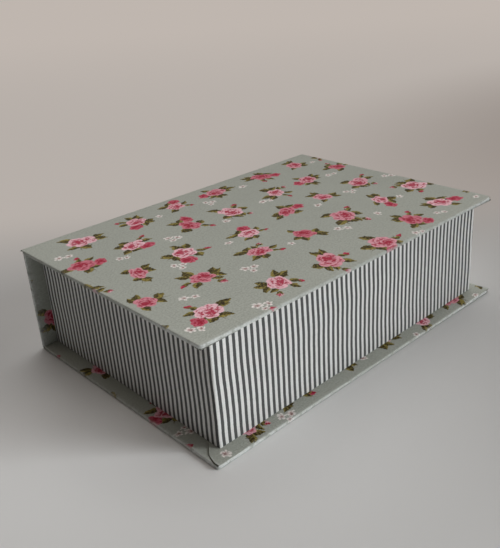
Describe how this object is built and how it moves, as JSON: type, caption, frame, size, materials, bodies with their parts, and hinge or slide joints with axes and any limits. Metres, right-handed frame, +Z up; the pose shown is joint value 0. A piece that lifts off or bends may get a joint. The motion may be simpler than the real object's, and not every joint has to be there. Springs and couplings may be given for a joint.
{
  "type": "sewing box",
  "caption": "Book-shaped case of three hinged cloth-covered boards that opens flat round a striped tray divided into compartments.",
  "frame": {"origin": "on the table, under the middle of the closed box's outline", "axes": "+X along the spine, from the end at the left of the picture to the right; +Y from the opening edge to the spine; +Z up"},
  "size_m": [0.3014, 0.2116, 0.0845],
  "materials": {
    "flowered_cloth": "matt woven cotton, printed",
    "striped_cloth": "matt woven cotton, printed with stripes",
    "plain_cloth": "matt woven cotton",
    "lined_card": "card covered in matt woven cotton",
    "grey_board": "matt bookbinder's board"
  },
  "bodies": {
    "base": {"back_lining_panel": "lined_card", "base_board": "grey_board", "base_cloth": "flowered_cloth", "base_joint_lining": "plain_cloth", "floor_lining_panel": "lined_card", "front_lining_panel": "lined_card", "left_cross_divider_board": "grey_board", "left_cross_divider_cloth": "plain_cloth", "left_lining_panel": "lined_card", "long_divider_board": "grey_board", "long_divider_cloth": "plain_cloth", "right_cross_divider_board": "grey_board", "right_cross_divider_cloth": "plain_cloth", "right_lining_panel": "lined_card", "tray_back_wall": "grey_board", "tray_cloth": "striped_cloth", "tray_floor_board": "grey_board", "tray_front_wall": "grey_board", "tray_left_wall": "grey_board", "tray_right_wall": "grey_board"},
    "spine": {"spine_board": "grey_board", "spine_cloth": "flowered_cloth", "spine_lining": "plain_cloth"},
    "cover": {"cover_board": "grey_board", "cover_cloth": "flowered_cloth", "cover_joint_lining": "plain_cloth", "cover_lining_panel": "lined_card"}
  },
  "joints": [
    {"name": "spine_hinge", "type": "hinge", "parent": "base", "child": "spine", "pos_m": [0, 0.1054, 0.00035], "axis": [-1, 0, 0], "range_deg": [0, 90]},
    {"name": "cover_hinge", "type": "hinge", "parent": "spine", "child": "cover", "pos_m": [0, 0.1054, 0.08415], "axis": [-1, 0, 0], "range_deg": [0, 90]}
  ]
}
